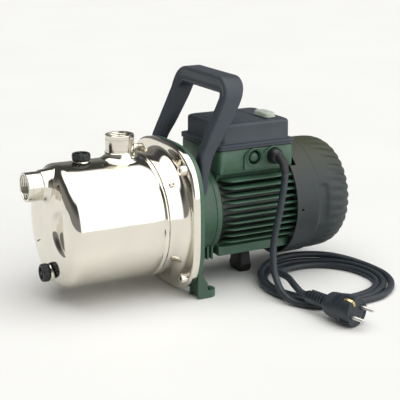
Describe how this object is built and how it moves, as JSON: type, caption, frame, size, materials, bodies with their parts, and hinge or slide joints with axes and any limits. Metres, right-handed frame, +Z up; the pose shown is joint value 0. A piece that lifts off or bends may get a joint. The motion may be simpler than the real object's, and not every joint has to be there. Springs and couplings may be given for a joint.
{
  "type": "jet pump",
  "caption": "Self-priming shallow well jet pump: stainless ejector casing, finned electric motor with terminal box and fan cover, carry handle and coiled mains cord.",
  "frame": {"origin": "on the ground under the middle of the pump's length and width, without its cord and mains plug", "axes": "+X along the shaft from the suction port to the fan, +Y away from the side with the cable gland, +Z up"},
  "size_m": [0.4702, 0.3738, 0.28],
  "materials": {
    "polished_steel": "mirror-polished stainless sheet",
    "machined_steel": "machined or ground steel",
    "laminations": "stacked steel laminations",
    "green_paint": "dark green paint on die-cast aluminium",
    "slate_plastic": "fine-grained slate blue-grey moulding",
    "cover_plastic": "fine-grained near-black moulding",
    "black_plastic": "smooth black moulding",
    "grey_plastic": "plain grey moulding",
    "clear_silicone": "milky translucent silicone",
    "rubber": "matt black rubber",
    "cord_rubber": "matt slate cord jacket",
    "copper": "enamelled copper wire",
    "brass": "machined brass",
    "ceramic": "lapped ceramic seal ring"
  },
  "bodies": {
    "pump_body": {"pump_casing": "polished_steel", "suction_port": "polished_steel", "delivery_port": "polished_steel", "filler_boss": "polished_steel", "drain_boss": "polished_steel", "seal_plate": "machined_steel", "casing_bolt_1": "machined_steel", "casing_bolt_2": "machined_steel", "casing_bolt_3": "machined_steel", "casing_bolt_4": "machined_steel", "front_bearing_outer": "machined_steel", "rear_bearing_outer": "machined_steel", "plug_pin_a": "machined_steel", "plug_pin_b": "machined_steel", "stator_core": "laminations", "motor_bracket": "green_paint", "motor_housing": "green_paint", "rear_end_shield": "green_paint", "terminal_box": "green_paint", "knockout_plug": "green_paint", "box_lid": "slate_plastic", "carry_handle": "slate_plastic", "fan_cover": "cover_plastic", "venturi_tube": "black_plastic", "diffuser": "black_plastic", "switch_base": "black_plastic", "cable_gland": "black_plastic", "mains_plug": "black_plastic", "run_capacitor": "grey_plastic", "terminal_block": "grey_plastic", "switch_boot": "clear_silicone", "casing_o_ring": "rubber", "lid_gasket": "rubber", "rear_foot": "rubber", "cord_drop": "cord_rubber", "cord_coil": "cord_rubber", "cord_tail": "cord_rubber", "winding_front": "copper", "winding_rear": "copper", "ejector_nozzle": "brass", "shaft_seal_seat": "ceramic"},
    "rotor": {"rotor_shaft": "machined_steel", "rotor_core": "laminations", "impeller": "black_plastic", "impeller_nut": "machined_steel", "shaft_seal_rotor": "ceramic", "cooling_fan": "black_plastic", "front_bearing_inner": "machined_steel", "rear_bearing_inner": "machined_steel"},
    "front_ball_set": {"front_bearing_balls": "machined_steel"},
    "rear_ball_set": {"rear_bearing_balls": "machined_steel"},
    "filler_seal": {"filler_plug_seal": "rubber"},
    "filler_cap": {"filler_plug": "black_plastic"},
    "drain_seal": {"drain_plug_seal": "rubber"},
    "drain_cap": {"drain_plug": "black_plastic"},
    "rocker": {"switch_rocker": "black_plastic"}
  },
  "joints": [
    {"name": "shaft_spin", "type": "hinge", "parent": "pump_body", "child": "rotor", "pos_m": [0.06465, 0, 0.0985], "axis": [1, 0, 0], "continuous": true},
    {"name": "front_balls_spin", "type": "hinge", "parent": "pump_body", "child": "front_ball_set", "pos_m": [0.01065, 0, 0.0985], "axis": [1, 0, 0], "continuous": true},
    {"name": "rear_balls_spin", "type": "hinge", "parent": "pump_body", "child": "rear_ball_set", "pos_m": [0.13215, 0, 0.0985], "axis": [1, 0, 0], "continuous": true},
    {"name": "filler_lift", "type": "slide", "parent": "pump_body", "child": "filler_seal", "axis": [0, 0, 1], "range_m": [0, 0.01]},
    {"name": "filler_turn", "type": "hinge", "parent": "filler_seal", "child": "filler_cap", "pos_m": [-0.14735, 0, 0.1811], "axis": [0, 0, 1], "range_deg": [0, 2160]},
    {"name": "drain_lift", "type": "slide", "parent": "pump_body", "child": "drain_seal", "axis": [-1, 0, 0], "range_m": [0, 0.01]},
    {"name": "drain_turn", "type": "hinge", "parent": "drain_seal", "child": "drain_cap", "pos_m": [-0.19775, 0, 0.0395], "axis": [-1, 0, 0], "range_deg": [0, 2160]},
    {"name": "switch_rock", "type": "hinge", "parent": "pump_body", "child": "rocker", "pos_m": [0.11115, -0.0155, 0.2123], "axis": [1, 0, 0], "range_deg": [0, 14]}
  ],
  "couplings": [
    {"joint": "front_balls_spin", "follows": "shaft_spin", "ratio": 0.4066},
    {"joint": "rear_balls_spin", "follows": "shaft_spin", "ratio": 0.3955},
    {"joint": "filler_lift", "follows": "filler_turn", "m_per_rad": 0.00023873},
    {"joint": "drain_lift", "follows": "drain_turn", "m_per_rad": 0.00023873}
  ]
}
